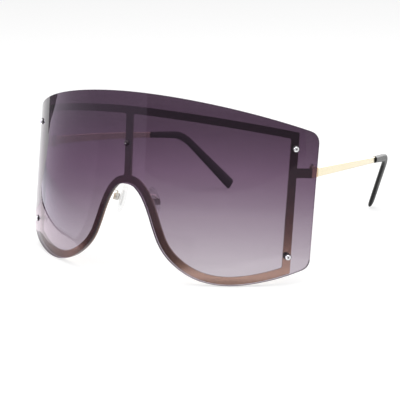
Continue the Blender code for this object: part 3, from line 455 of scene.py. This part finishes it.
def stand_in(node, bm, finish=None, **shading):
    """The finished piece that is seen in the node's place."""
    made = piece(f"{node}_finished", bm, finish or slot_of(node), body_of(node),
                 slot_of(node), **shading)
    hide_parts(node)


def dressed(node, width, angle=EDGE_FROM, finish=None):
    """The node's own solid with softened edges."""
    stand_in(node, softened(with_whole_flats(merged(node)), width, angle=angle), finish)


def rounded(node, width=0.0):
    """A soft or swelling piece, subdivided until its outline is round."""
    bm = merged(node)
    bmesh.ops.join_triangles(bm, faces=bm.faces,
                             angle_face_threshold=math.radians(PAIR_WITHIN),
                             angle_shape_threshold=math.radians(PAIR_SHAPE_WITHIN))
    if width:
        softened(bm, width, angle=TIP_EDGE_FROM)
    stand_in(node, bm, subdivide=ROUNDING_LEVELS)


# The lens and the frame behind it: two sheets on one cone

ON_SHEET = 0.98
FLAT_CUT = 0.5
CUT_WITH_BEVELS = 0.95
BELOW_ARCH_TOP = -0.3 * MM
FACES_DOWN = -0.1


def outward(point):
    """The cone's true normal at a point of a sheet."""
    place = point - ARCH_TOP
    height = place.dot(LENS_UP)
    turn = math.atan2(place.x, LENS_RADIUS - CONE_SLOPE * height - place.dot(LENS_BACK))
    normal = Vector((math.sin(turn), 0, 0)) - LENS_BACK * math.cos(turn)
    return (normal + LENS_UP * CONE_SLOPE * (1 - math.cos(turn))).normalized()


def lean_of(face):
    """1 on a sheet's front, -1 on its back and 0 on its cut edge."""
    return face.normal.dot(outward(face.calc_center_median()))


def sheet_normals(bm):
    """The cone's own normals on the front and back, and the mesh's own round the edge."""
    normals = []
    for vert in bm.verts:
        sides = [lean_of(face) for face in vert.link_faces]
        if max(sides) > ON_SHEET:
            normals.append(outward(vert.co))
        elif min(sides) < -ON_SHEET:
            normals.append(-outward(vert.co))
        else:
            total = sum((face.normal * face.calc_area() for face in vert.link_faces), Vector())
            normals.append(total.normalized())
    return normals


def below_arch(face):
    """Whether a cut face looks down from the lower outline."""
    low = (face.calc_center_median() - ARCH_TOP).dot(LENS_UP) < BELOW_ARCH_TOP
    return low and face.normal.dot(LENS_UP) < FACES_DOWN


def edged_sheet(node, width, segments, finish, edge_finish, edge_lean, where=None):
    """The lens or the frame, its cut edge, all of it or only where said, in a darker finish:
    painted shade on the edge.
    """
    bm = softened(with_whole_flats(merged(node)), width, segments)
    bm.normal_update()
    for face in bm.faces:
        if abs(lean_of(face)) < edge_lean and (where is None or where(face)):
            face.material_index = 1
    stand_in(node, bm, finish, second=edge_finish, normals=sheet_normals(bm))


for node in frame["nodes"]:
    if node == "lens":
        # The lens's cut edge, only where it looks down from the lower outline, is painted shade.
        edged_sheet(node, LENS_EDGE, 3, "tinted_lens", "lens_edge_shade", CUT_WITH_BEVELS,
                    where=below_arch)
    elif node == "frame_front":
        edged_sheet(node, FRAME_EDGE, 2, "gold_rim", "rim_edge_shade", FLAT_CUT)
    # The centre screw's head is painted dark, as a dark reflection.
    elif node == "lens_screw_centre":
        dressed(node, SMALL_EDGE, finish="steel_painted_dark")
    elif node.startswith("temple_tip"):
        rounded(node, TIP_EDGE)
    elif node.startswith("nose_pad"):
        rounded(node)
    elif node.startswith("pad_arm"):
        dressed(node, WIRE_EDGE, WIRE_EDGE_FROM, "pale_wire")
    elif node.startswith("pad_box"):
        dressed(node, SMALL_EDGE, finish="pale_wire")
    else:
        dressed(node, SMALL_EDGE)


# Washers and socket discs of the lens screws: painted shade round and in the heads, and a painted
# glint on the centre one

HEAD_RADIUS = 1.3 * MM
HEAD_HEIGHT = 0.9 * MM
SHANK_RADIUS = 0.6 * MM
SOCKET_RADIUS = 0.5 * MM
SMALL_HEAD_SHARE = 0.7
WASHER_CLEARANCE = 0.1 * MM
WASHER_OVERHANG = 0.22 * MM
WASHER_GAP = 0.04 * MM
WASHER_FOOT = 0.26 * MM
FLOOR_CLEARANCE = 0.04 * MM
FLOOR_DEPTH = 0.4 * MM
CENTRE_FLOOR_DEPTH = 0.07 * MM


def turned(origin, axis, outline, steps=32):
    """Solid of revolution: (radius, height) points swung round the axis."""
    bm = bmesh.new()
    side = axis.orthogonal().normalized()
    ring = [bm.verts.new(origin + side * radius + axis * height) for radius, height in outline]
    edges = [bm.edges.new(pair) for pair in zip(ring, ring[1:] + ring[:1])]
    bmesh.ops.spin(bm, geom=ring + edges, cent=origin, axis=axis, angle=math.tau,
                   steps=steps, use_merge=True)
    bmesh.ops.recalc_face_normals(bm, faces=bm.faces)
    return bm


def disc(middle, axis, radius, steps=24):
    """Flat disc that faces along the axis."""
    bm = bmesh.new()
    side = axis.orthogonal().normalized()
    turn = Matrix((side, axis.cross(side), axis)).transposed().to_4x4()
    bmesh.ops.create_circle(bm, cap_ends=True, cap_tris=True, segments=steps, radius=radius,
                            matrix=Matrix.Translation(middle) @ turn)
    return bm


def middle_of(node):
    corners = [Vector(corner) for corner in frame["nodes"][node].bound_box]
    return sum(corners, Vector()) / len(corners)


def fit_screw(place):
    """Dark nylon washer under the head, which also paints the shade round it, and a disc in its
    hexagon socket: painted shade deep down, and on the centre screw a painted glint just under the
    head top.
    """
    screw = f"lens_screw_{place}"
    small = place == "centre"
    size = SMALL_HEAD_SHARE if small else 1.0
    middle = middle_of(screw)
    axis = (middle - middle_of(f"cap_nut_{place}")).normalized()
    top = max((vert.co - middle).dot(axis) for vert in frame["nodes"][screw].data.vertices)
    head_top = middle + axis * top

    inner, outer = (SHANK_RADIUS + WASHER_CLEARANCE) * size, (HEAD_RADIUS + WASHER_OVERHANG) * size
    low, high = -HEAD_HEIGHT * size - WASHER_FOOT, -HEAD_HEIGHT * size - WASHER_GAP
    washer = turned(head_top, axis, [(inner, low), (outer, low), (outer, high), (inner, high)])
    piece(f"washer_{place}", washer, "nylon_washer_painted_shade", body_of(screw), "clear_silicone")

    # The centre screw's disc sits just under the head top in near white: a painted glint.
    depth = CENTRE_FLOOR_DEPTH if small else FLOOR_DEPTH
    floor = disc(head_top - axis * depth, axis, (SOCKET_RADIUS - FLOOR_CLEARANCE) * size)
    shade = "socket_glint" if small else "socket_shade"
    piece(f"painted_socket_disc_{place}", floor, shade, body_of(screw), "bright_steel")


for place in ("centre", "upper_left", "upper_right", "lower_left", "lower_right"):
    fit_screw(place)


# Studio

FLOOR_SIZE = 6.0
FLOOR_DROP = 0.2 * MM
FLOOR_GREY = (0.42, 0.42, 0.42, 1.0)
FLOOR_GLOW = 0.66
LIGHT_ALL_ROUND = 0.55
LIT_MIDDLE = (0, 0, 0.04)
FOCAL_LENGTH = 119.79
SENSOR_WIDTH = 36.0


def looked_at(finish):
    """1 on rays from the camera, through the lens or off a gloss, and 0 on the others."""
    rays = finish.node("ShaderNodeLightPath").outputs
    camera, glossy, through = (Wire(finish, rays[kind]) for kind in (
        "Is Camera Ray", "Is Glossy Ray", "Is Transmission Ray"))
    return camera.at_least(glossy).at_least(through)


def studio_sheet(name, bm, finish):
    """A flat piece of the studio, which isn't part of the glasses."""
    mesh = bpy.data.meshes.new(name)
    bm.to_mesh(mesh)
    bm.free()
    mesh.materials.append(finish.owner)
    made = bpy.data.objects.new(name, mesh)
    bpy.context.scene.collection.objects.link(made)
    return made


def build_floor():
    """Lit by the lamps, so that it takes shadows, and brought up to white where looked at."""
    finish = new_finish("floor_white")
    diffuse = finish.wire("ShaderNodeBsdfDiffuse", {}, {"Color": FLOOR_GREY})
    glow = finish.dimmed(WHITE, looked_at(finish) * FLOOR_GLOW)
    glowing = finish.wire("ShaderNodeEmission", {}, {"Color": glow, "Strength": 1.0})
    finish.show(finish.wire("ShaderNodeAddShader", {}, {0: diffuse, 1: glowing}))
    bm = bmesh.new()
    bmesh.ops.create_grid(bm, x_segments=1, y_segments=1, size=FLOOR_SIZE)
    floor = studio_sheet("floor", bm, finish)
    floor.location = (0, 0, cad_box[0][2] - FLOOR_DROP)


def build_surroundings():
    """White where looked at, and a plain level of light on the glasses."""
    world = bpy.data.worlds.new("studio")
    finish = Finish(world, "ShaderNodeOutputWorld")
    strength = between(looked_at(finish), LIGHT_ALL_ROUND, 1.0)
    finish.show(finish.wire("ShaderNodeBackground", {}, {"Color": WHITE, "Strength": strength}))
    bpy.context.scene.world = world


def soft_light(name, place, size, watts):
    lamp = bpy.data.lights.new(name, "AREA")
    lamp.shape = "RECTANGLE"
    lamp.size, lamp.size_y = size
    lamp.energy = watts
    holder = bpy.data.objects.new(name, lamp)
    bpy.context.scene.collection.objects.link(holder)
    holder.location = place
    aim = Vector(LIT_MIDDLE) - Vector(place)
    holder.rotation_euler = aim.to_track_quat("-Z", "Y").to_euler()


def build_camera(place, right, up, ahead):
    """The photograph's own view."""
    lens = bpy.data.cameras.new("camera")
    lens.lens = FOCAL_LENGTH
    lens.sensor_width = SENSOR_WIDTH
    camera = bpy.data.objects.new("camera", lens)
    bpy.context.scene.collection.objects.link(camera)
    turn = Matrix((right, up, -ahead)).transposed()
    camera.matrix_world = Matrix.LocRotScale(place, turn.to_quaternion(), None)
    bpy.context.scene.camera = camera


build_floor()
build_surroundings()
soft_light("overhead", place=(0.05, 0.05, 0.9), size=(0.9, 0.7), watts=5.0)
soft_light("front_left", place=(-0.7, -0.7, 0.5), size=(0.5, 0.6), watts=2.5)
build_camera(place=Vector((0.32364, -0.544736, 0.174370)),
             right=Vector((0.852156, 0.523165, -0.011379)),
             up=Vector((-0.117375, 0.212287, 0.970133)),
             ahead=Vector((-0.509955, 0.825368, -0.242308)))


# Glowing panels out of the camera's sight that light nothing and cast no shadow: painted
# reflections for the polished faces to mirror

COOL_WHITE = (1.04, 0.91, 1.1, 1.0)
WARM_WHITE = (1.035, 0.95, 1.0, 1.0)
PALE_BLUE = (0.98, 0.97, 1.08, 1.0)
TOWARDS_FRONT = (0, -1, 0)

WALL_FRONT, WALL_BACK = -1.2, 1.2
WALL_LEFT, WALL_CORNER, WALL_RIGHT, WALL_TOP = -3.0, -0.44, 3.0, 1.4
JUST_OFF_FLOOR = 1 * MM
LOWER, HIGHER = 0.5 * MM, 2 * MM

# Where the dark lower wall ends, and the edge of the paper, whose shadow shows in the lens as a
# thin curved line.
WALL_LINE = [(WALL_CORNER, 0.09), (-0.2, 0.10), (0.35, 0.108), (WALL_RIGHT, 0.115)]
PAPER_LINE = [(-0.159, -0.023), (-0.152, -0.036), (-0.143, -0.049), (-0.135, -0.06),
              (-0.125, -0.071), (-0.114, -0.084), (-0.107, -0.094), (-0.098, -0.102),
              (-0.0955, -0.105)]


def on_floor(outline, height=JUST_OFF_FLOOR):
    return [(x, y, height) for x, y in outline]


def upright(outline, y=WALL_FRONT):
    return [(x, y, z) for x, z in outline]


def panel(name, corners, brightness, far=None, reach=1.0, tone=WHITE, along=None):
    """A glowing sheet, seen only in reflections: a painted reflection. With far, its brightness
    and tone change evenly over the reach, by distance from the middle of the floor or, with along,
    by distance in that direction."""
    finish = new_finish(name)
    colour, strength = WHITE, brightness
    if far:
        if along:
            away = finish.vectors("DOT_PRODUCT", finish.place(), along, "Value")
        else:
            away = finish.vectors("LENGTH", finish.place(), output="Value")
        level = between((away / reach).at_most(1.0), brightness, far)
        colour, strength = finish.dimmed(tone, level), 1.0
    finish.show(finish.wire("ShaderNodeEmission", {}, {"Color": colour, "Strength": strength}))
    bm = bmesh.new()
    bm.faces.new([bm.verts.new(corner) for corner in corners])
    made = studio_sheet(name, bm, finish)
    made.visible_camera = False
    made.visible_diffuse = False
    made.visible_shadow = False


panel("dark_room", upright([(WALL_CORNER, 0), (WALL_RIGHT, 0), *WALL_LINE[::-1]]), 0.48)
panel("pale_room", upright([*WALL_LINE, (WALL_RIGHT, WALL_TOP), (WALL_CORNER, WALL_TOP)]), 0.65)
panel("window_side", upright([(WALL_CORNER, 0), (WALL_CORNER, WALL_TOP), (WALL_LEFT, WALL_TOP),
                              (WALL_LEFT, 0)]),
      1.0, far=1.35, reach=1.7, tone=COOL_WHITE)
# A dark patch of floor in front of the glasses: painted shadow of the glasses, seen in the lens
# and the rim.
panel("front_shadow_floor", on_floor([(-0.0955, -0.105), (-0.06, -0.105), (0, -0.112), (0.04, -0.16),
                              (0.07, -0.36), (-0.1, -0.38), (-0.3, -0.265)]), 0.24)
panel("mid_floor", on_floor([(0.04, -0.16), (0.12, -0.175), (0.19, -0.15), (0.3, -0.06),
                             (0.55, -0.1), (0.5, -0.38), (0.24, -0.56), (-0.2, -0.6),
                             (-0.38, -0.328), (-0.3, -0.265), (-0.1, -0.38),
                             (0.07, -0.36)]), 0.7)
panel("far_floor", on_floor([(0.55, -0.1), (WALL_RIGHT, -0.2), (WALL_RIGHT, WALL_FRONT),
                             (WALL_CORNER, WALL_FRONT), (-0.2, -0.6), (0.24, -0.56),
                             (0.5, -0.38)]), 0.9)
panel("window_floor", on_floor([(-0.2, -0.6), (WALL_CORNER, WALL_FRONT), (-1.5, WALL_FRONT),
                                (-0.38, -0.328)]),
      0.7, far=1.35, reach=1.6, tone=COOL_WHITE)
# A brighter patch of floor beside the glasses: a painted pool of light, seen only in reflections.
panel("bright_floor", on_floor([(0.02, -0.135), (0.12, -0.165), (0.19, -0.145), (0.15, -0.05),
                                (0.09, -0.075), (0.03, -0.105)], LOWER), 1.9)
panel("grey_floor", on_floor([(-0.21, -0.194), (-1.5, WALL_FRONT), (WALL_LEFT, WALL_FRONT),
                              (WALL_LEFT, 0.6), (-0.28, 0.026), (-0.275, -0.06),
                              (-0.25, -0.13)]),
      0.75, far=1.5, reach=1.0, tone=COOL_WHITE)
# Bright paper round the glasses: painted pools of light, seen only in reflections.
panel("lit_floor", on_floor([(-0.21, -0.194), (-0.25, -0.13), (-0.275, -0.06), (-0.28, 0.026),
                             (-0.19, 0.007), *PAPER_LINE]),
      3.3, far=0.95, reach=0.27, tone=PALE_BLUE)
panel("near_floor", on_floor([(-0.162, -0.015), *PAPER_LINE, (-0.08, -0.104),
                              (-0.067, -0.091), (-0.062, -0.082), (-0.066, -0.077),
                              (-0.072, -0.071), (-0.079, -0.065), (-0.0865, -0.0587),
                              (-0.088, -0.053), (-0.085, -0.049), (-0.085, -0.015)]),
      0.6, far=2.9, reach=0.086, tone=WARM_WHITE, along=TOWARDS_FRONT)
# A black strip along the paper's edge: its painted shadow.
panel("paper_edge_shadow", on_floor([(-0.182, 0.003), (-0.151, -0.027), (-0.143, -0.039),
                              (-0.134, -0.051), (-0.126, -0.061), (-0.115, -0.072),
                              (-0.104, -0.083), (-0.097, -0.092), (-0.088, -0.099),
                              (-0.082, -0.105), (-0.09, -0.108), (-0.096, -0.102),
                              (-0.105, -0.094), (-0.112, -0.084), (-0.123, -0.071),
                              (-0.134, -0.06), (-0.142, -0.049), (-0.151, -0.037),
                              (-0.159, -0.023), (-0.189, 0.007)], HIGHER), 0.0)
# A dark wedge far to the left: a painted dark reflection in the lens's upper left.
panel("dark_wedge", on_floor([(-0.415, 0.066), (-0.54, 0.078), (-0.66, 0.066),
                              (-0.81, 0.057), (-1.5, 0.02), (-1.15, 0.39)], HIGHER), 0.19)
# Painted shadow of the glasses on the floor between the temples, seen in the temples' inner faces.
panel("shaded_floor", on_floor([(-0.06, 0), (0.05, 0), (0.06, 0.26), (-0.06, 0.26)]), 0.45)
panel("bright_back", upright([(-0.3, 0.05), (1.6, 0.05), (1.6, 1.2), (-0.3, 1.2)],
                             WALL_BACK), 2.6)

bpy.context.scene.view_settings.view_transform = "Standard"
